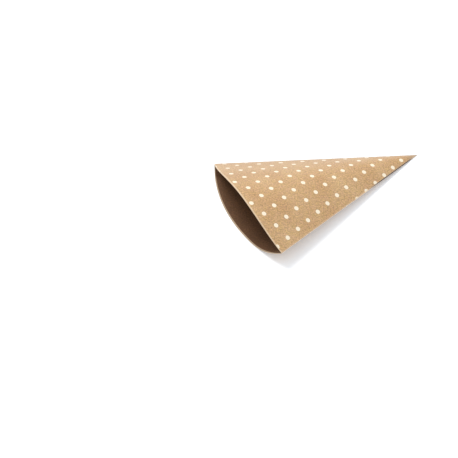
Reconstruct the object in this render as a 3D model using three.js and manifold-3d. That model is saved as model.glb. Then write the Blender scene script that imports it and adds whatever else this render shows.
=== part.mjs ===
// Paper cone bag, made of one sheet of brown kraft card with a printed dot pattern.
// The sheet is a quarter disc, folded down its middle and glued to itself along a flap.
// The bag is open and lies on its side: its tip points to +X, its mouth to -X and its glued seam to -Y.
import * as THREE from "three";
import Module from "manifold-3d";

// The sheet, in millimetres and degrees
const cardThickness = 0.4;
const panelAngle = 45; // at the tip, for each of the two panels
const slantAtFold = 187.8; // from the tip to the mouth's edge, along the fold
const slantAtSeam = 190.5; // the same along the glued seam
const tipCut = 1; // what is cut off the point where the panels meet
const foldRadius = 0.5; // how far each fold is rounded to either side
const foldFlattening = 0.2; // how far a rounded fold lies inside the sharp one

// The glue flap, on the inside of the panel below
const flapWidth = 12; // at the mouth
const flapTipWidth = 4;
const flapTipDistance = 30; // from the tip to the flap's near end
const flapMouthInset = 3;
const seamGapWidth = 0.6; // between the seam's fold and the cut edge that meets it
const seamGapOffset = 0.4;
const seamGapDepth = 0.3;

// How the open bag lies, all at the mouth
const foldHeight = 11.1; // of the fold above the table
const seamHeight = 14.3; // of the seam above the table
const archRise = 24.2; // of the upper panel above the line from fold to seam
const archSkew = -0.13; // a negative arch leans towards the seam
const foldBendWidth = 9.4; // where the lower panel comes down from the fold
const seamBendWidth = 39.6; // where it comes down from the seam

// The printed dots, on staggered rows beside the fold
const dotDiameter = 4;
const dotPitch = 20; // along a row
const rowPitch = 9.9; // from one row to the next
const printTurn = 4.4; // degrees between the rows and the fold
const printAlong = 18.7; // from the tip to a dot of the main row, along it
const printAcross = 9.6; // from the tip to the main row
const printDepth = 0.05; // the print is pressed into the card

// Fineness of the shapes
const archStrips = 14;
const bendStrips = 6;
const flatStrips = 8;
const flapRows = 8;
const flapColumns = 5;
const dotSides = 8;
const curveSamples = 400;
const solverSteps = 50;
const solverStart = 0.01; // where a search begins, as a share of its highest value
const finestDetail = 0.005;

const wasm = await Module();
wasm.setup();
const radians = THREE.MathUtils.degToRad;
const panelArc = radians(panelAngle);

// The lowest value from which a rising function is above its goal
function solve(rising, goal, low, high) {
  for (let step = 0; step < solverSteps; step++) {
    const middle = (low + high) / 2;
    if (rising(middle) < goal) low = middle;
    else high = middle;
  }
  return (low + high) / 2;
}

// A direction from the tip, with its azimuth measured from the bag's middle line
function direction(azimuth, elevation) {
  const level = Math.cos(elevation);
  return new THREE.Vector3(
    -level * Math.cos(azimuth),
    -level * Math.sin(azimuth),
    Math.sin(elevation),
  );
}

// The card bends in one direction only, so each panel is a fan of straight lines from the tip.
// A panel is given by the directions of those lines, from the fold to the seam.
const foldElevation = Math.asin(foldHeight / slantAtFold);
const seamElevation = Math.asin(seamHeight / slantAtSeam);
const meanSlant = (slantAtFold + slantAtSeam) / 2;

// The upper panel is an arch over the line from fold to seam
function archDirection(share, spread) {
  const fold = direction(-spread / 2, foldElevation);
  const seam = direction(spread / 2, seamElevation);
  const angle = fold.angleTo(seam);
  const up = fold.clone().cross(seam).normalize();
  const along = fold
    .multiplyScalar(Math.sin((1 - share) * angle))
    .addScaledVector(seam, Math.sin(share * angle))
    .normalize();
  const lean = 1 + archSkew * Math.cos(Math.PI * share);
  const rise = (archRise / meanSlant) * Math.sin(Math.PI * share) * lean;
  return along.multiplyScalar(Math.cos(rise)).addScaledVector(up, Math.sin(rise));
}

// The lower panel lies on the table between two bends that lead up to the fold and the seam
function baseDirection(share, spread, bendScale) {
  const fromFold = share * spread;
  const fromSeam = spread - fromFold;
  const foldBend = (bendScale * foldBendWidth) / slantAtFold;
  const seamBend = (bendScale * seamBendWidth) / slantAtSeam;
  const atFold = Math.max(0, 1 - fromFold / foldBend);
  const atSeam = Math.max(0, 1 - fromSeam / seamBend);
  const elevation = foldElevation * atFold ** 2 + seamElevation * atSeam ** 2;
  return direction(fromFold - spread / 2, elevation);
}

// Samples of a panel's directions, with the angle that each one has in the flat sheet
function sampled(directionAt) {
  const samples = [];
  for (let i = 0; i <= curveSamples; i++) {
    const way = directionAt(i / curveSamples);
    const before = samples[i - 1];
    samples.push({ way, arc: before ? before.arc + before.way.angleTo(way) : 0 });
  }
  return samples;
}

const lengthOf = (samples) => samples[samples.length - 1].arc;

// Both panels are equally wide in the flat sheet: the mouth opens until the arch takes up its own
// width, and the bends below are as wide as the lower panel's width leaves them.
const spread = solve(
  (angle) => lengthOf(sampled((share) => archDirection(share, angle))),
  panelArc,
  solverStart * panelArc,
  panelArc,
);
const widestBends = spread / (foldBendWidth / slantAtFold + seamBendWidth / slantAtSeam);
const bendScale = solve(
  (scale) => -lengthOf(sampled((share) => baseDirection(share, spread, scale))),
  -panelArc,
  solverStart * widestBends,
  widestBends,
);
const arch = sampled((share) => archDirection(share, spread));
const base = sampled((share) => baseDirection(share, spread, bendScale));

// The direction and the outward normal of a panel at an angle of the flat sheet from the fold
function lineOf(panel, arc) {
  let i = 1;
  while (i < panel.length - 1 && panel[i].arc < arc) i++;
  const [before, after] = [panel[i - 1], panel[i]];
  const share = (arc - before.arc) / (after.arc - before.arc);
  const way = before.way.clone().lerp(after.way, share).normalize();
  const out = way.clone().cross(after.way.clone().sub(before.way)).normalize();
  return { way, out: panel === base ? out.negate() : out };
}

// From the tip to the mouth's edge, which runs from the fold's slant to the seam's
function slantAt(arc) {
  const share = Math.sin((Math.PI / 2) * (arc / panelArc));
  return slantAtFold + (slantAtSeam - slantAtFold) * share;
}

// A point of a panel, some way along its line and some way below its outer face
function pointOn(panel, arc, distance, depth) {
  const { way, out } = lineOf(panel, arc);
  return way.multiplyScalar(distance).addScaledVector(out, -depth);
}

// The angles at which a panel's facets meet: even on the arch, closer together in the bends below
function evenly(from, to, count) {
  return Array.from({ length: count }, (_, i) => from + ((to - from) * i) / count);
}
const foldBendShare = (bendScale * foldBendWidth) / slantAtFold / spread;
const seamBendShare = (bendScale * seamBendWidth) / slantAtSeam / spread;
const foldBendEnd = base[Math.ceil(foldBendShare * curveSamples)].arc;
const seamBendStart = base[Math.floor((1 - seamBendShare) * curveSamples)].arc;
const rounding = foldRadius / meanSlant;
const archBreaks = [
  ...evenly(rounding, panelArc - rounding, archStrips),
  panelArc - rounding,
];
const baseBreaks = [
  ...evenly(rounding, foldBendEnd, bendStrips),
  ...evenly(foldBendEnd, seamBendStart, flatStrips),
  ...evenly(seamBendStart, panelArc - rounding, bendStrips),
  panelArc - rounding,
];

// A closed solid from points and triangles
function solidOf(points, triangles) {
  return new wasm.Manifold(
    new wasm.Mesh({
      numProp: 3,
      vertProperties: new Float32Array(points.flatMap((point) => point.toArray())),
      triVerts: new Uint32Array(triangles.flat()),
    }),
  );
}

// Where both panels meet in a sharp edge: its point, moved inwards along the mitre
function edgePoint(arc, distance, depth) {
  const above = lineOf(arch, arc);
  const below = lineOf(base, arc);
  const mitre = above.out.clone().add(below.out);
  mitre.divideScalar(1 + above.out.dot(below.out));
  return above.way.multiplyScalar(distance).addScaledVector(mitre, -depth);
}

// The ring of stations around the mouth: up over the arch from the fold, and back below.
// Each fold has one station inside and three outside, where it is rounded.
function ringStations() {
  const fold = { edge: true, arc: 0 };
  const seam = { edge: true, arc: panelArc };
  const along = (panel, breaks) => breaks.map((arc) => ({ panel, arc }));
  const above = along(arch, archBreaks);
  const below = along(base, baseBreaks).reverse();
  above[0].inner = fold;
  below[below.length - 1].inner = fold;
  above[above.length - 1].inner = seam;
  below[0].inner = seam;
  return [fold, ...above, seam, ...below];
}

function stationPoint({ edge, panel, arc }, distance, depth) {
  return edge ? edgePoint(arc, distance, depth) : pointOn(panel, arc, distance, depth);
}

// The wall: an outer cone cut off at the tip, and an inner one whose point stands where the
// bag is two walls thick
function wall() {
  const stations = ringStations();
  const insides = stations.filter((station) => !station.inner);
  const outerDepth = (station, scale) => (station.edge ? foldFlattening * scale : 0);
  const tipRing = stations.map((station) =>
    stationPoint(station, tipCut, outerDepth(station, tipCut / meanSlant)),
  );
  const mouthRing = stations.map((station) =>
    stationPoint(station, slantAt(station.arc), outerDepth(station, 1)),
  );
  const innerRing = insides.map((station) =>
    stationPoint(station, slantAt(station.arc), cardThickness),
  );
  const crown = lineOf(arch, panelArc / 2).way;
  const clearance = tipCut / 2;
  const innerTip = new THREE.Vector3(
    -(2 * cardThickness) / crown.z - clearance,
    0,
    cardThickness + (clearance / 2) * crown.z,
  );
  const tipMiddle = tipRing
    .reduce((sum, point) => sum.add(point), new THREE.Vector3())
    .divideScalar(tipRing.length);
  const points = [...tipRing, ...mouthRing, ...innerRing, innerTip, tipMiddle];

  const count = stations.length;
  const innerStart = 2 * count;
  const innerTipIndex = innerStart + insides.length;
  const tipMiddleIndex = innerTipIndex + 1;
  const innerOf = (i) => innerStart + insides.indexOf(stations[i].inner ?? stations[i]);
  const triangles = [];
  for (let i = 0; i < count; i++) {
    const next = (i + 1) % count;
    const [inner, innerNext] = [innerOf(i), innerOf(next)];
    triangles.push([next, i, count + next], [count + next, i, count + i]);
    triangles.push([tipMiddleIndex, i, next]);
    triangles.push([count + next, count + i, inner]);
    if (inner === innerNext) continue;
    triangles.push([innerNext, count + next, inner]);
    triangles.push([innerTipIndex, innerNext, inner]);
  }
  return solidOf(points, triangles);
}

// A strip of card beside the seam of the lower panel, between two depths and two distances
// from the seam, each of which may change from the tip end to the mouth end
function seamStrip({ near, far, shallow, deep, start, end }) {
  const points = [];
  const triangles = [];
  const columns = flapColumns + 1;
  for (let row = 0; row <= flapRows; row++) {
    const share = row / flapRows;
    for (let column = 0; column < columns; column++) {
      const across = THREE.MathUtils.lerp(near, far(share), column / flapColumns);
      const distance = THREE.MathUtils.lerp(start, end, share);
      const arc = panelArc - across / distance;
      points.push(pointOn(base, arc, distance, shallow), pointOn(base, arc, distance, deep));
    }
  }
  const at = (row, column, side) => 2 * (row * columns + column) + side;
  const quad = (a, b, c, d) => triangles.push([a, b, c], [a, c, d]);
  for (let row = 0; row < flapRows; row++) {
    for (let column = 0; column < flapColumns; column++) {
      const corners = (side) => [
        at(row, column, side),
        at(row + 1, column, side),
        at(row + 1, column + 1, side),
        at(row, column + 1, side),
      ];
      quad(...corners(0));
      quad(...corners(1).reverse());
    }
    quad(at(row, 0, 0), at(row, 0, 1), at(row + 1, 0, 1), at(row + 1, 0, 0));
    const last = flapColumns;
    quad(at(row, last, 1), at(row, last, 0), at(row + 1, last, 0), at(row + 1, last, 1));
  }
  for (let column = 0; column < flapColumns; column++) {
    const row = flapRows;
    quad(at(0, column, 0), at(0, column + 1, 0), at(0, column + 1, 1), at(0, column, 1));
    quad(at(row, column, 1), at(row, column + 1, 1), at(row, column + 1, 0), at(row, column, 0));
  }
  return solidOf(points, triangles);
}

const flap = seamStrip({
  near: seamGapOffset,
  far: (share) => THREE.MathUtils.lerp(flapTipWidth, flapWidth, share),
  shallow: cardThickness / 2,
  deep: 2 * cardThickness,
  start: flapTipDistance,
  end: slantAtSeam - flapMouthInset,
});

// The lower panel's cut edge stops just short of the seam's fold
const seamGap = seamStrip({
  near: seamGapOffset,
  far: () => seamGapOffset + seamGapWidth,
  shallow: -cardThickness,
  deep: seamGapDepth,
  start: flapTipDistance + seamGapWidth,
  end: slantAtSeam + seamGapWidth,
});

// A convex outline of the flat sheet, cut down to one side of a line through the tip
function clipped(outline, arc, side) {
  const lineNormal = new THREE.Vector2(-Math.sin(arc), Math.cos(arc)).multiplyScalar(side);
  const kept = [];
  outline.forEach((point, i) => {
    const next = outline[(i + 1) % outline.length];
    const [here, there] = [point.dot(lineNormal), next.dot(lineNormal)];
    if (here >= 0) kept.push(point);
    if (here >= 0 !== there >= 0) kept.push(point.clone().lerp(next, here / (here - there)));
  });
  return kept;
}

// The part of a dot that falls on one flat facet, as a prism that reaches into the card
function dotOnFacet(outline, panel, from, to) {
  const start = lineOf(panel, from).way;
  const end = lineOf(panel, to).way;
  const upSide = panel === arch ? 1 : -1;
  const out = start.clone().cross(end).normalize().multiplyScalar(upSide);
  const chord = start.angleTo(end);
  const pointAt = (flat, height) => {
    const arc = THREE.MathUtils.mapLinear(flat.angle(), from, to, 0, chord);
    const way = start
      .clone()
      .multiplyScalar(Math.sin(chord - arc))
      .addScaledVector(end, Math.sin(arc))
      .divideScalar(Math.sin(chord));
    return way.multiplyScalar(flat.length()).addScaledVector(out, height);
  };
  const count = outline.length;
  const points = [
    ...outline.map((flat) => pointAt(flat, -printDepth)),
    ...outline.map((flat) => pointAt(flat, cardThickness)),
  ];
  const triangles = [];
  for (let i = 0; i < count; i++) {
    const next = (i + 1) % count;
    triangles.push([i, next, count + next], [i, count + next, count + i]);
    if (i > 0 && i < count - 1) triangles.push([0, next, i], [count, count + i, count + next]);
  }
  if (panel === base) triangles.forEach((triangle) => triangle.reverse());
  return solidOf(points, triangles);
}

// Every dot of the sheet, facet by facet. The lower panel is the sheet's other half, so its
// pattern is the mirror image seen from the fold.
function dots() {
  const pieces = [];
  const turn = radians(printTurn);
  const reach = Math.max(slantAtFold, slantAtSeam) + dotPitch;
  const rows = Math.ceil(reach / rowPitch);
  const columns = Math.ceil(reach / dotPitch);
  const flatAsOne = baseBreaks.filter((arc) => arc <= foldBendEnd || arc >= seamBendStart);
  const panels = [
    { panel: arch, breaks: archBreaks, mirror: 1 },
    { panel: base, breaks: flatAsOne, mirror: -1 },
  ];
  for (let row = -rows; row <= rows; row++) {
    for (let column = -1; column <= columns; column++) {
      const stagger = row % 2 === 0 ? 0 : dotPitch / 2;
      const centre = new THREE.Vector2(
        printAlong + stagger + column * dotPitch,
        printAcross + row * rowPitch,
      ).rotateAround(new THREE.Vector2(), turn);
      if (centre.length() > reach) continue;
      for (const { panel, breaks, mirror } of panels) {
        const outline = Array.from({ length: dotSides }, (_, i) => {
          const around = (2 * Math.PI * i) / dotSides;
          const offset = new THREE.Vector2(Math.cos(around), Math.sin(around));
          const corner = offset.multiplyScalar(dotDiameter / 2).add(centre);
          return corner.set(corner.x, mirror * corner.y);
        });
        if (mirror < 0) outline.reverse();
        for (let i = 0; i + 1 < breaks.length; i++) {
          const [from, to] = [breaks[i], breaks[i + 1]];
          const part = clipped(clipped(outline, from, 1), to, -1);
          if (part.length > 2) pieces.push(dotOnFacet(part, panel, from, to));
        }
      }
    }
  }
  return wasm.Manifold.union(pieces);
}

const kraft = new THREE.MeshStandardMaterial({ color: 0xc99c68, roughness: 0.85, metalness: 0 });
const ink = new THREE.MeshStandardMaterial({ color: 0xfdf4e3, roughness: 0.7, metalness: 0 });

// The finished card as a geometry with two groups: plain card and printed dots
const print = dots().asOriginal();
const card = wall()
  .add(flap)
  .subtract(seamGap)
  .subtract(print)
  .simplify(finestDetail)
  .decompose()
  .reduce((largest, piece) => (piece.volume() > largest.volume() ? piece : largest));
const cardMesh = card.getMesh();
const geometry = new THREE.BufferGeometry();
geometry.setAttribute("position", new THREE.BufferAttribute(cardMesh.vertProperties, 3));
geometry.setIndex(new THREE.BufferAttribute(cardMesh.triVerts, 1));
for (let run = 0; run < cardMesh.runOriginalID.length; run++) {
  const start = cardMesh.runIndex[run];
  const printed = cardMesh.runOriginalID[run] === print.originalID();
  geometry.addGroup(start, cardMesh.runIndex[run + 1] - start, printed ? 1 : 0);
}

// The bag stands on the plane z = 0, with the middle of its footprint at the origin
geometry.computeBoundingBox();
const middle = geometry.boundingBox.getCenter(new THREE.Vector3());
geometry.translate(-middle.x, -middle.y, -geometry.boundingBox.min.z);
geometry.computeVertexNormals();

const paperCone = new THREE.Mesh(geometry, [kraft, ink]);
paperCone.name = "paper_cone";

const group = new THREE.Group();
group.add(paperCone);
export default group;
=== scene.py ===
import math

import bpy
from mathutils import Matrix, Vector


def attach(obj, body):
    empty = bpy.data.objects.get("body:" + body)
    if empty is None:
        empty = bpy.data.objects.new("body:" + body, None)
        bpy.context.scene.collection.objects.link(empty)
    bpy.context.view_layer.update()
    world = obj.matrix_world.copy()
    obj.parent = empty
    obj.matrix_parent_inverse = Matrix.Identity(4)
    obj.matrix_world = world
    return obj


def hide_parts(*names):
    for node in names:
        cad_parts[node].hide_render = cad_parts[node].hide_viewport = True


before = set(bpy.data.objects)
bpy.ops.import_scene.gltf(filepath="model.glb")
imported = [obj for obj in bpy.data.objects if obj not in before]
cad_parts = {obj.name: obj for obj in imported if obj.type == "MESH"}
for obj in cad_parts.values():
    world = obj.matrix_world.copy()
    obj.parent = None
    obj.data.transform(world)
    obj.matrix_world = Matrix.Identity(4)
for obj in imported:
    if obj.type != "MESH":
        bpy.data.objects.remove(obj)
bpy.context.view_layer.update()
bpy.ops.object.select_all(action="DESELECT")
scene = bpy.context.scene
scene.view_settings.view_transform = "Standard"

# The view: the bag is seen from above its mouth and its glued seam, from nearly a metre away.
# The camera looks down at the table and is rolled a little to one side.
look_down = math.radians(42.774)
roll = math.radians(-3.851)
distance = 0.9062
level_ahead = Vector((0.39273, 0.91965, 0))
looked_at = Vector((-0.10115, -0.00629, 0))
focal_length = 82.58
sensor_width = 36

ahead = level_ahead * math.cos(look_down) - Vector((0, 0, math.sin(look_down)))
level_right = Vector((level_ahead.y, -level_ahead.x, 0))
level_up = level_right.cross(ahead)
right = level_right * math.cos(roll) + level_up * math.sin(roll)
up = level_up * math.cos(roll) - level_right * math.sin(roll)
bpy.ops.object.camera_add()
camera = bpy.context.object
camera.name = "camera"
camera.data.sensor_width = sensor_width
camera.data.lens = focal_length
turned = Matrix((right, up, -ahead)).transposed().to_4x4()
camera.matrix_world = Matrix.Translation(looked_at - ahead * distance) @ turned
scene.camera = camera

# The light: one large soft lamp above and behind the bag, to its left, in a pale room.
# The room is white where the camera sees it, and dimmer as a light.
lamp_place = Vector((-0.5, 1.9, 2.9))
lamp_size = 1.9
lamp_power = 66
lamp_colour = (1.0, 0.99, 0.975)
room_as_light = 0.8
room_as_seen = 1.0
room_tint = (0.93, 0.96, 1.0, 1)
plain_white = (1, 1, 1, 1)

bpy.ops.object.light_add(type="AREA", location=lamp_place)
lamp = bpy.context.object
lamp.name = "soft_lamp"
lamp.data.shape = "DISK"
lamp.data.size = lamp_size
lamp.data.energy = lamp_power
lamp.data.color = lamp_colour
lamp.rotation_euler = (-lamp_place).to_track_quat("-Z", "Y").to_euler()

room = bpy.data.worlds.new("room")
scene.world = room
room.use_nodes = True
nodes, links = room.node_tree.nodes, room.node_tree.links
rays = nodes.new("ShaderNodeLightPath")
seen = nodes.new("ShaderNodeMath")
seen.operation = "MAXIMUM"
links.new(rays.outputs["Is Camera Ray"], seen.inputs[0])
links.new(rays.outputs["Is Transmission Ray"], seen.inputs[1])
strength = nodes.new("ShaderNodeMapRange")
strength.inputs["To Min"].default_value = room_as_light
strength.inputs["To Max"].default_value = room_as_seen
links.new(seen.outputs[0], strength.inputs["Value"])
background = nodes["Background"]
daylight = nodes.new("ShaderNodeMix")
daylight.data_type = "RGBA"
tint_a, tint_b = [s for s in daylight.inputs if s.identifier in ("A_Color", "B_Color")]
tint_a.default_value = room_tint
tint_b.default_value = plain_white
links.new(seen.outputs[0], daylight.inputs[0])
tinted = next(s for s in daylight.outputs if s.identifier == "Result_Color")
links.new(tinted, background.inputs["Color"])
links.new(strength.outputs["Result"], background.inputs["Strength"])

# The table: a plain white top, which the bag lies on.
# It takes the bag's shadow.
table_size = 6
white_as_lit = 0.78
white_as_seen = 1.0
glow_as_seen = 0.21
glow_tint = (0.86, 0.92, 1.0, 1)
table_roughness = 0.9

bpy.ops.mesh.primitive_plane_add(size=table_size, location=(0, 0, 0))
table = bpy.context.object
table.name = "table"
white = bpy.data.materials.new("white_table")
white.use_nodes = True
nodes, links = white.node_tree.nodes, white.node_tree.links
rays = nodes.new("ShaderNodeLightPath")
tone = nodes.new("ShaderNodeMapRange")
tone.inputs["To Min"].default_value = white_as_lit
tone.inputs["To Max"].default_value = white_as_seen
links.new(rays.outputs["Is Camera Ray"], tone.inputs["Value"])
surface = nodes["Principled BSDF"]
surface.inputs["Roughness"].default_value = table_roughness
surface.inputs["Specular IOR Level"].default_value = 0.0
links.new(tone.outputs["Result"], surface.inputs["Base Color"])
glow = nodes.new("ShaderNodeMapRange")
glow.inputs["To Min"].default_value = 0.0
glow.inputs["To Max"].default_value = glow_as_seen
links.new(rays.outputs["Is Camera Ray"], glow.inputs["Value"])
surface.inputs["Emission Color"].default_value = glow_tint
links.new(glow.outputs["Result"], surface.inputs["Emission Strength"])
table.data.materials.append(white)

# The bag: one sheet of brown kraft card, a quarter disc with a flap along one straight edge.
# It is folded down its middle and glued to itself along the flap, and its mouth is pressed open,
# so each half bends into a cone: every line from the tip to the mouth stays straight.
card = 0.0004
panel_arc = math.radians(45)
slant_at_fold = 0.1878
slant_at_seam = 0.1905
tip = Vector((0.095322, 0.000366, 0))
tip_cut = 0.001
mouth_spread = math.radians(42.2234)
fold_height = 0.0111
seam_height = 0.0143
arch_rise = 0.0242
arch_skew = -0.13
fold_bend = 0.009216
seam_bend = 0.038824
fold_round = 0.0005
seam_gap = 0.001
flap_width = 0.012
flap_start = 0.03
flap_inset = 0.003
flap_edge = 0.0011
flap_widening = 0.25
seam_lip = 0.0007
lip_bend = seam_lip / 7
glue = 0.00002

base_columns = 97
fold_columns = 8
arch_columns = 81
seam_columns = 11
flap_columns = 13
rows = 64
row_growth = 1.15
smooth_below = math.radians(35)
same_point = 0.000001

mean_slant = (slant_at_fold + slant_at_seam) / 2
fold_lift = math.asin(fold_height / slant_at_fold)
seam_lift = math.asin(seam_height / slant_at_seam)


def direction(azimuth, lift):
    level = math.cos(lift)
    return Vector((-level * math.cos(azimuth), -level * math.sin(azimuth), math.sin(lift)))


def arch_way(share):
    fold = direction(-mouth_spread / 2, fold_lift)
    seam = direction(mouth_spread / 2, seam_lift)
    angle = fold.angle(seam)
    raised = fold.cross(seam).normalized()
    along = fold * math.sin((1 - share) * angle) + seam * math.sin(share * angle)
    lean = 1 + arch_skew * math.cos(math.pi * share)
    rise = arch_rise / mean_slant * math.sin(math.pi * share) * lean
    return along.normalized() * math.cos(rise) + raised * math.sin(rise)


def base_way(share):
    from_fold = share * mouth_spread
    from_seam = mouth_spread - from_fold
    at_fold = max(0, 1 - from_fold * slant_at_fold / fold_bend) ** 2
    at_seam = max(0, 1 - from_seam * slant_at_seam / seam_bend) ** 2
    return direction(from_fold - mouth_spread / 2, fold_lift * at_fold + seam_lift * at_seam)


def measured(way_at, samples=1200):
    ways = [way_at(i / samples) for i in range(samples + 1)]
    arcs = [0.0]
    for before, after in zip(ways, ways[1:]):
        arcs.append(arcs[-1] + (after - before).length)
    return ways, [arc * panel_arc / arcs[-1] for arc in arcs]


arch = measured(arch_way)
base = measured(base_way)


def line_of(panel, arc):
    ways, arcs = panel
    low, high = 0, len(arcs) - 1
    while high - low > 1:
        middle = (low + high) // 2
        if arcs[middle] < arc:
            low = middle
        else:
            high = middle
    share = (arc - arcs[low]) / (arcs[high] - arcs[low])
    way = ways[low].lerp(ways[high], share).normalized()
    out = way.cross(ways[high] - ways[low]).normalized()
    return way, (-out if panel is base else out)


def slant_at(arc):
    share = math.sin(math.pi / 2 * min(arc, panel_arc) / panel_arc)
    return slant_at_fold + (slant_at_seam - slant_at_fold) * share


def on_panel(panel, arc, distance, depth=0.0):
    way, out = line_of(panel, arc)
    return way * distance - out * depth


# Where both panels meet, at its own depth below each of them
def in_corner(arc, distance, above, below):
    way, top = line_of(arch, arc)
    bottom = line_of(base, arc)[1]
    shared = top.dot(bottom)
    of_top = (above - below * shared) / (1 - shared**2)
    of_bottom = (below - above * shared) / (1 - shared**2)
    return way * distance - top * of_top - bottom * of_bottom


def curve(points, share):
    while len(points) > 1:
        points = [a.lerp(b, share) for a, b in zip(points, points[1:])]
    return points[0]


# The columns of the sheet, each with its angle in the flat sheet, and its point on the outside
# and on the inside at some distance from the tip
def near_tip(distance):
    return min(1.0, distance / flap_start)


def base_column(share):
    first = fold_round / mean_slant

    def column(distance):
        last = panel_arc - seam_gap * near_tip(distance) / distance
        arc = first + (last - first) * share
        mouth = on_panel(base, arc, slant_at(arc), card)
        return -arc, on_panel(base, arc, distance), mouth

    return column


def fold_column(share):
    def column(distance):
        side = fold_round / mean_slant
        start = on_panel(base, side, distance)
        corner = in_corner(0, distance, 0, 0)
        end = on_panel(arch, side, distance)
        inside = in_corner(0, slant_at_fold, card, card)
        return (2 * share - 1) * side, curve([start, corner, end], share), inside

    return column


def arch_column(arc):
    def column(distance):
        mouth = on_panel(arch, arc, slant_at(arc), card)
        return arc, on_panel(arch, arc, distance), mouth

    return column


seam_inside = in_corner(panel_arc, slant_at_seam, card, 2 * card + glue)


def seam_column(share):
    def column(distance):
        scale = near_tip(distance)
        depth = (card + glue) * scale
        side = fold_round / mean_slant
        wide = seam_lip * scale / distance
        bend = lip_bend * scale / distance
        points = [
            on_panel(arch, panel_arc - side, distance),
            in_corner(panel_arc, distance, 0, 0),
            on_panel(base, panel_arc - bend, distance, depth),
            on_panel(base, panel_arc - wide, distance, depth),
        ]
        arc = panel_arc - side + share * (side + wide)
        return arc, curve(points, share), seam_inside

    return column


def flap_column(share):
    def column(distance):
        scale = near_tip(distance)
        widened = min(1.0, distance / slant_at_seam + flap_widening)
        far = flap_width * widened * scale**2
        near = flap_edge * scale
        across = near + (max(far, 2 * near) - near) * share
        arc = panel_arc - across / distance
        outside = on_panel(base, arc, distance, (card + glue) * scale)
        inside = on_panel(base, arc, distance, (2 * card + glue) * scale)
        return panel_arc + across / distance, outside, inside

    return column


def evenly(count, start=0.0, end=1.0):
    return [start + (end - start) * i / (count - 1) for i in range(count)]


arch_start = fold_round / mean_slant
arch_end = panel_arc - flap_edge / mean_slant
columns = [base_column(share) for share in evenly(base_columns, 1.0, 0.0)]
columns += [fold_column(share) for share in evenly(fold_columns)[1:-1]]
columns += [arch_column(arc) for arc in evenly(arch_columns, arch_start, arch_end)]
columns += [seam_column(share) for share in evenly(seam_columns)]
flap_first = len(columns)
columns += [flap_column(share) for share in evenly(flap_columns)]

bpy.ops.mesh.primitive_grid_add(x_subdivisions=len(columns) - 1, y_subdivisions=rows, size=1)
bag = bpy.context.object
bag.name = "folded_card"
mesh = bag.data
across_of = sorted(range(len(mesh.vertices)), key=lambda i: mesh.vertices[i].co.x)
count = rows + 1
grid = []
for c in range(len(columns)):
    line = across_of[c * count : (c + 1) * count]
    grid.append(sorted(line, key=lambda i: mesh.vertices[i].co.y))

crown = line_of(arch, panel_arc / 2)[0]
inner_tip = Vector((-2 * card / crown.z - tip_cut / 2, 0, card + tip_cut / 4 * crown.z))
outside, inside, flat = {}, {}, {}
for c, column in enumerate(columns):
    on_flap = c >= flap_first
    mouth_arc = column(slant_at_seam)[0]
    end = slant_at(abs(mouth_arc))
    if on_flap:
        end -= min(flap_inset, (mouth_arc - panel_arc) * slant_at_seam)
    for r, vertex in enumerate(grid[c]):
        share = (r / rows) ** row_growth
        distance = tip_cut + (end - tip_cut) * share
        arc, outer, inner = column(distance)
        flat[vertex] = (distance * math.cos(arc), distance * math.sin(arc))
        outside[vertex] = outer
        inside[vertex] = inner if on_flap else inner_tip.lerp(inner, share)
tip_middle = sum((outside[line[0]] for line in grid), Vector()) / len(grid)
for c, line in enumerate(grid):
    inside[line[0]] = tip_middle
    if c < flap_first:
        inside[line[1]] = inner_tip
for vertex in mesh.vertices:
    vertex.co = outside[vertex.index] + tip

sheet_map = mesh.uv_layers[0]
sheet_map.name = "flat_sheet"
for loop in mesh.loops:
    sheet_map.data[loop.index].uv = flat[loop.vertex_index]
mesh.update()
top_face = max(mesh.polygons, key=lambda face: face.center.z)
if top_face.normal.z < 0:
    bpy.ops.object.mode_set(mode="EDIT")
    bpy.ops.mesh.select_all(action="SELECT")
    bpy.ops.mesh.flip_normals()
    bpy.ops.object.mode_set(mode="OBJECT")

solid = bag.modifiers.new("thickness", "SOLIDIFY")
solid.thickness = card
solid.offset = -1
bpy.ops.object.modifier_apply(modifier=solid.name)
face_size = len(outside)
moved = (mesh.vertices[0].co - outside[0] - tip).length > card / 2
outer_start, inner_start = (face_size, 0) if moved else (0, face_size)
for i in range(face_size):
    mesh.vertices[outer_start + i].co = outside[i] + tip
    mesh.vertices[inner_start + i].co = inside[i] + tip
for face in mesh.polygons:
    layers = {vertex // face_size * face_size for vertex in face.vertices}
    face.material_index = 2 if len(layers) == 2 else int(inner_start in layers)
bpy.ops.object.mode_set(mode="EDIT")
bpy.ops.mesh.select_all(action="SELECT")
bpy.ops.mesh.remove_doubles(threshold=same_point)
bpy.ops.mesh.delete_loose()
bpy.ops.object.mode_set(mode="OBJECT")
bpy.ops.object.select_all(action="DESELECT")
bag.select_set(True)
bpy.context.view_layer.objects.active = bag
bpy.ops.object.shade_smooth_by_angle(angle=smooth_below)


# Kraft pulp: long fibres that cross each other, soft clouds where the pulp is thicker, and a few
# dark specks of bark
cloud_scale = 28
warp_scale = 300
warp_reach = (0.0012, 0.0012, 0)
strand_turns = (12, 74, 131)
strand_stretch = (0.22, 1.6, 1)
strand_scale = 1500
grain_scale = 750
fleck_scale = 260
speck_scale = 170
speck_rarity = 0.72
speck_reach = 0.11


def math_node(tree, operation, *values):
    node = tree.nodes.new("ShaderNodeMath")
    node.operation = operation
    for socket, value in zip(node.inputs, values):
        if isinstance(value, (int, float)):
            socket.default_value = value
        else:
            tree.links.new(value, socket)
    return node.outputs[0]


def vector_node(tree, operation, *values):
    node = tree.nodes.new("ShaderNodeVectorMath")
    node.operation = operation
    for socket, value in zip(node.inputs, values):
        if isinstance(value, tuple):
            socket.default_value = value
        else:
            tree.links.new(value, socket)
    return node.outputs["Value"] if operation == "LENGTH" else node.outputs["Vector"]


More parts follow.
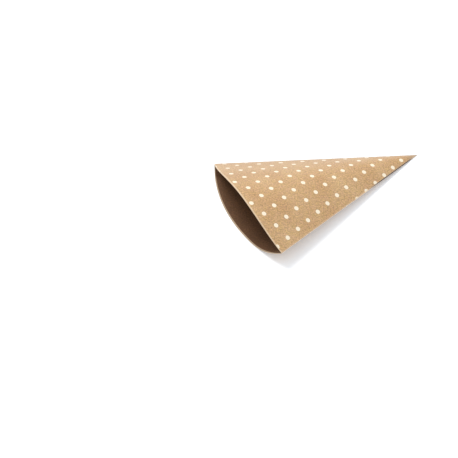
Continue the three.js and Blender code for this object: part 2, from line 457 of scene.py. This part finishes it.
def noise_node(tree, vector, scale, detail=3, roughness=0.5):
    node = tree.nodes.new("ShaderNodeTexNoise")
    node.inputs["Scale"].default_value = scale
    node.inputs["Detail"].default_value = detail
    node.inputs["Roughness"].default_value = roughness
    tree.links.new(vector, node.inputs["Vector"])
    return node.outputs["Fac"]


def mapped(tree, value, low, high, to_low=0.0, to_high=1.0, smooth=True):
    node = tree.nodes.new("ShaderNodeMapRange")
    node.interpolation_type = "SMOOTHSTEP" if smooth else "LINEAR"
    for name, number in zip(("From Min", "From Max", "To Min", "To Max"),
                            (low, high, to_low, to_high)):
        node.inputs[name].default_value = number
    tree.links.new(value, node.inputs["Value"])
    return node.outputs["Result"]


def new_group(name, inputs, outputs):
    tree = bpy.data.node_groups.new(name, "ShaderNodeTree")
    for label, kind, value in inputs:
        socket = tree.interface.new_socket(label, in_out="INPUT", socket_type=kind)
        if value is not None:
            socket.default_value = value
    for label, kind in outputs:
        tree.interface.new_socket(label, in_out="OUTPUT", socket_type=kind)
    return tree, tree.nodes.new("NodeGroupInput"), tree.nodes.new("NodeGroupOutput")


kraft_group, given, result = new_group(
    "kraft_pulp",
    [("Sheet", "NodeSocketVector", None)],
    [("Clouds", "NodeSocketFloat"), ("Fibres", "NodeSocketFloat"),
     ("Specks", "NodeSocketFloat"), ("Flecks", "NodeSocketFloat")],
)
sheet = given.outputs["Sheet"]
clouds = noise_node(kraft_group, sheet, cloud_scale, 3, 0.55)
warp = kraft_group.nodes.new("ShaderNodeTexNoise")
warp.inputs["Scale"].default_value = warp_scale
kraft_group.links.new(sheet, warp.inputs["Vector"])
bent = vector_node(kraft_group, "MULTIPLY", warp.outputs["Color"], warp_reach)
bent = vector_node(kraft_group, "ADD", sheet, bent)
strands = None
for turn in strand_turns:
    laid = kraft_group.nodes.new("ShaderNodeMapping")
    laid.inputs["Rotation"].default_value = (0, 0, math.radians(turn))
    laid.inputs["Scale"].default_value = strand_stretch
    kraft_group.links.new(bent, laid.inputs["Vector"])
    one = noise_node(kraft_group, laid.outputs["Vector"], strand_scale, 2, 0.6)
    strands = one if strands is None else math_node(kraft_group, "ADD", strands, one)
strands = math_node(kraft_group, "DIVIDE", strands, len(strand_turns))
grain = noise_node(kraft_group, sheet, grain_scale, 4, 0.65)
fibres = math_node(kraft_group, "ADD", strands, grain)
fibres = math_node(kraft_group, "MULTIPLY", fibres, 0.5)
cells = kraft_group.nodes.new("ShaderNodeTexVoronoi")
cells.inputs["Scale"].default_value = speck_scale
kraft_group.links.new(sheet, cells.inputs["Vector"])
picked = kraft_group.nodes.new("ShaderNodeSeparateColor")
kraft_group.links.new(cells.outputs["Color"], picked.inputs["Color"])
reach = mapped(kraft_group, picked.outputs["Red"], speck_rarity, 1.0, 0.0, speck_reach)
specks = math_node(kraft_group, "LESS_THAN", cells.outputs["Distance"], reach)
kraft_group.links.new(clouds, result.inputs["Clouds"])
kraft_group.links.new(fibres, result.inputs["Fibres"])
kraft_group.links.new(specks, result.inputs["Specks"])
flecks = noise_node(kraft_group, sheet, fleck_scale, 2, 0.6)
kraft_group.links.new(flecks, result.inputs["Flecks"])

# The print: round dots on staggered rows, at a slight angle to the sheet's fold
dot_pitch = 0.02
row_pitch = 0.0099
print_turn = math.radians(4.4)
print_along = 0.0187
print_across = 0.0096
dot_radius = 0.002
dot_softness = 0.00012
ragged_scale = 1400
ragged_reach = (0.00022, 0.00022, 0)
print_group, given, result = new_group(
    "printed_dots",
    [("Sheet", "NodeSocketVector", None)],
    [("Dots", "NodeSocketFloat")],
)
straight = print_group.nodes.new("ShaderNodeMapping")
straight.inputs["Rotation"].default_value = (0, 0, -print_turn)
print_group.links.new(given.outputs["Sheet"], straight.inputs["Vector"])
ragged = print_group.nodes.new("ShaderNodeTexNoise")
ragged.inputs["Scale"].default_value = ragged_scale
print_group.links.new(given.outputs["Sheet"], ragged.inputs["Vector"])
ragged = vector_node(print_group, "MULTIPLY", ragged.outputs["Color"], ragged_reach)
nearest = None
for column, row in ((0.0, 0.0), (0.5, 1.0)):
    centre = (print_along + column * dot_pitch, print_across + row * row_pitch, 0)
    offset = vector_node(print_group, "SUBTRACT", straight.outputs["Vector"], centre)
    half = (dot_pitch / 2, row_pitch, 1)
    low = (-dot_pitch / 2, -row_pitch, -1)
    offset = vector_node(print_group, "WRAP", offset, half, low)
    offset = vector_node(print_group, "ADD", offset, ragged)
    away = vector_node(print_group, "LENGTH", offset)
    nearest = away if nearest is None else math_node(print_group, "MINIMUM", nearest, away)
dot_core, dot_edge = dot_radius - dot_softness, dot_radius + dot_softness
ink = mapped(print_group, nearest, dot_core, dot_edge, 1.0, 0.0)
print_group.links.new(ink, result.inputs["Dots"])

# The creases: along the glued seam the card is a little broken and paler and its ink rubbed,
# partly crease wear and partly a painted highlight; along the outer fold it is broken, greyer and
# its ink fades. The point is greyer, and a dark line runs along the seam near the tip: both are
# painted shade. Each pair is where the mark is full and where it is gone, in metres across the
# crease or from the point.
# along the seam: paler card, partly crease wear and partly a painted highlight on the fold's edge
seam_wear_and_highlight = (0.0003, 0.0017)
# along the outer fold the card turns greyer and its ink fades
fold_grey_band = (0.0006, 0.0031)
# painted shade: the point of the bag is greyer
tip_shade_reach = (0.006, 0.018)
rim_wear = (0.0004, 0.0013)
# painted shade: a dark line along the seam near the tip, standing in for the shade in the seam's
# gap and under its fold
seam_shade_width = (0.0006, 0.0013)
seam_shade_start = (0.014, 0.006)
seam_shade_end = (0.058, 0.078)
broken_scale = 420
broken_range = (0.3, 0.56)
least_wear = 0.35
rim_growth = (slant_at_seam - slant_at_fold) * 1.42
crease_group, given, result = new_group(
    "crease_wear",
    [("Sheet", "NodeSocketVector", None)],
    [(label, "NodeSocketFloat") for label in ("Seam", "Fold", "Tip shade", "Seam shade", "Rim")],
)
sheet = given.outputs["Sheet"]
parts = crease_group.nodes.new("ShaderNodeSeparateXYZ")
crease_group.links.new(sheet, parts.inputs["Vector"])
to_fold = math_node(crease_group, "ABSOLUTE", parts.outputs["Y"])
to_seam = math_node(crease_group, "SUBTRACT", parts.outputs["X"], parts.outputs["Y"])
to_seam = math_node(crease_group, "ABSOLUTE", to_seam)
to_seam = math_node(crease_group, "MULTIPLY", to_seam, math.sqrt(0.5))
broken = noise_node(crease_group, sheet, broken_scale, 4, 0.7)
broken = mapped(crease_group, broken, *broken_range, least_wear)
# along the seam: partly crease wear and partly a painted highlight
at_seam = mapped(crease_group, to_seam, *seam_wear_and_highlight, 1.0, 0.0)
at_seam = math_node(crease_group, "MULTIPLY", at_seam, broken)
# greyer along the outer fold
at_fold = mapped(crease_group, to_fold, *fold_grey_band, 1.0, 0.0)
at_fold = math_node(crease_group, "MULTIPLY", at_fold, broken)
from_tip = vector_node(crease_group, "LENGTH", sheet)
# painted shade at the point of the bag
painted_tip_shade = mapped(crease_group, from_tip, *reversed(tip_shade_reach))
sweep = math_node(crease_group, "ABSOLUTE", parts.outputs["Y"])
sweep = math_node(crease_group, "DIVIDE", sweep, from_tip)
rim_at = math_node(crease_group, "MULTIPLY", sweep, rim_growth)
rim_at = math_node(crease_group, "SUBTRACT", from_tip, rim_at)
rim_full, rim_gone = (slant_at_fold - width for width in rim_wear)
rim = mapped(crease_group, rim_at, rim_gone, rim_full)
crease_group.links.new(rim, result.inputs["Rim"])
# painted shade: a dark line along the seam, from just past the tip to partway up
line = mapped(crease_group, to_seam, *seam_shade_width, 1.0, 0.0)
near = mapped(crease_group, from_tip, *seam_shade_end, 1.0, 0.0)
far = mapped(crease_group, from_tip, *reversed(seam_shade_start))
stretch = math_node(crease_group, "MULTIPLY", near, far)
painted_seam_shade = math_node(crease_group, "MULTIPLY", line, stretch)
crease_group.links.new(painted_seam_shade, result.inputs["Seam shade"])
crease_group.links.new(at_seam, result.inputs["Seam"])
crease_group.links.new(at_fold, result.inputs["Fold"])
crease_group.links.new(painted_tip_shade, result.inputs["Tip shade"])

# The card: the same pulp on the outside, on the inside and at the cut edge, with cream ink on the
# outside only. The inside is the kraft darkened as painted shade, and the cut edge's colour is
# darkened as painted shade too.


def colour(red, green, blue):
    def linear(value):
        value /= 255
        return value / 12.92 if value <= 0.04045 else ((value + 0.055) / 1.055) ** 2.4

    return (linear(red), linear(green), linear(blue), 1)


def mixed(tree, share, first, second, blend="MIX"):
    node = tree.nodes.new("ShaderNodeMix")
    node.data_type = "RGBA"
    node.blend_type = blend
    for name, value in (("Factor_Float", share), ("A_Color", first), ("B_Color", second)):
        socket = next(s for s in node.inputs if s.identifier == name)
        if isinstance(value, (int, float, tuple)):
            socket.default_value = value
        else:
            tree.links.new(value, socket)
    return next(s for s in node.outputs if s.identifier == "Result_Color")


ink_colour = colour(255, 240, 212)
bark_colour = colour(105, 68, 38)
# the seam's pale colour: partly crease wear, partly painted highlight
seam_wear_highlight_colour = colour(238, 212, 184)
# the grey along the outer fold
fold_grey_colour = colour(178, 160, 141)
rim_colour = colour(240, 214, 180)
# the colour of the painted shade at the point
tip_shade_colour = colour(176, 156, 134)
# the colour of the painted shade along the seam near the tip
seam_shade_colour = colour(66, 48, 34)
cool_cast = (0.98, 1.0, 0.9, 1)
warm_cast = (1.01, 1.0, 1.07, 1)
fibre_relief = 0.00004
ink_relief = 0.00001


def kraft_material(name, pale, deep, printed):
    made = bpy.data.materials.new(name)
    made.use_nodes = True
    tree = made.node_tree
    mapping = tree.nodes.new("ShaderNodeUVMap")
    mapping.uv_map = sheet_map.name

    def on_sheet(group):
        node = tree.nodes.new("ShaderNodeGroup")
        node.node_tree = group
        tree.links.new(mapping.outputs["UV"], node.inputs["Sheet"])
        return node

    pulp, wear = on_sheet(kraft_group), on_sheet(crease_group)
    cloud_share = mapped(tree, pulp.outputs["Clouds"], 0.3, 0.7, smooth=False)
    paper = mixed(tree, cloud_share, deep, pale)
    fleck_share = mapped(tree, pulp.outputs["Flecks"], 0.32, 0.68)
    cast = mixed(tree, fleck_share, cool_cast, warm_cast)
    paper = mixed(tree, 1.0, paper, cast, "MULTIPLY")
    fibre_tone = mapped(tree, pulp.outputs["Fibres"], 0.38, 0.62, 0.52, 1.42, smooth=False)
    shade = tree.nodes.new("ShaderNodeCombineColor")
    for socket in shade.inputs:
        tree.links.new(fibre_tone, socket)
    paper = mixed(tree, 1.0, paper, shade.outputs["Color"], "MULTIPLY")
    speck_share = math_node(tree, "MULTIPLY", pulp.outputs["Specks"], 0.55)
    paper = mixed(tree, speck_share, paper, bark_colour)
    height = math_node(tree, "MULTIPLY", pulp.outputs["Fibres"], fibre_relief)
    rough = mapped(tree, pulp.outputs["Fibres"], 0.3, 0.7, 0.7, 0.55, smooth=False)
    if printed:
        dots = on_sheet(print_group)
        covered = mapped(tree, pulp.outputs["Fibres"], 0.36, 0.5, 0.86, 1.0)
        covered = math_node(tree, "MULTIPLY", dots.outputs["Dots"], covered)
        ink_lost = math_node(tree, "MULTIPLY", wear.outputs["Seam"], 0.35)
        # the ink fades along the outer fold
        ink_faded_at_fold = math_node(tree, "MULTIPLY", wear.outputs["Fold"], 0.95)
        ink_lost = math_node(tree, "MAXIMUM", ink_lost, ink_faded_at_fold)
        covered = math_node(tree, "MULTIPLY", covered, math_node(tree, "SUBTRACT", 1.0, ink_lost))
        paper = mixed(tree, covered, paper, ink_colour)
        raised = math_node(tree, "MULTIPLY", covered, ink_relief)
        height = math_node(tree, "ADD", height, raised)
        rough = math_node(tree, "SUBTRACT", rough, math_node(tree, "MULTIPLY", covered, 0.12))
    # paler along the seam: partly crease wear and partly a painted highlight
    seam_wear_and_highlight_tone = math_node(tree, "MULTIPLY", wear.outputs["Seam"], 0.65)
    paper = mixed(tree, seam_wear_and_highlight_tone, paper, seam_wear_highlight_colour)
    # greyer along the outer fold
    greyed = math_node(tree, "MULTIPLY", wear.outputs["Fold"], 0.85)
    paper = mixed(tree, greyed, paper, fold_grey_colour)
    frayed = math_node(tree, "MULTIPLY", wear.outputs["Rim"], 0.6)
    paper = mixed(tree, frayed, paper, rim_colour)
    # painted shade: greyer towards the point
    tip_shade_share = math_node(tree, "MULTIPLY", wear.outputs["Tip shade"], 0.35)
    paper = mixed(tree, tip_shade_share, paper, tip_shade_colour)
    # painted shade: the dark line along the seam near the tip
    painted_seam_shade = math_node(tree, "MULTIPLY", wear.outputs["Seam shade"], 0.95)
    paper = mixed(tree, painted_seam_shade, paper, seam_shade_colour)
    bump = tree.nodes.new("ShaderNodeBump")
    bump.inputs["Strength"].default_value = 0.7
    tree.links.new(height, bump.inputs["Height"])
    shader = tree.nodes["Principled BSDF"]
    shader.inputs["Specular IOR Level"].default_value = 0.5 if printed else 0.25
    shader.inputs["Sheen Weight"].default_value = 0.33 if printed else 0.05
    shader.inputs["Sheen Roughness"].default_value = 0.45
    tree.links.new(paper, shader.inputs["Base Color"])
    tree.links.new(rough, shader.inputs["Roughness"])
    tree.links.new(bump.outputs["Normal"], shader.inputs["Normal"])
    return made


for name, pale, deep, printed in (
    ("printed_kraft", colour(211, 172, 123), colour(197, 153, 104), True),
    # the inside: the kraft darkened as painted shade
    ("kraft_inside_painted_shade", colour(112, 77, 49), colour(100, 68, 43), False),
    # the cut edge: the card's edge colour, darkened as painted shade
    ("kraft_cut_edge_painted_shade", colour(146, 112, 80), colour(130, 98, 68), False),
):
    mesh.materials.append(kraft_material(name, pale, deep, printed))
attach(bag, "root")
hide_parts("paper_cone")
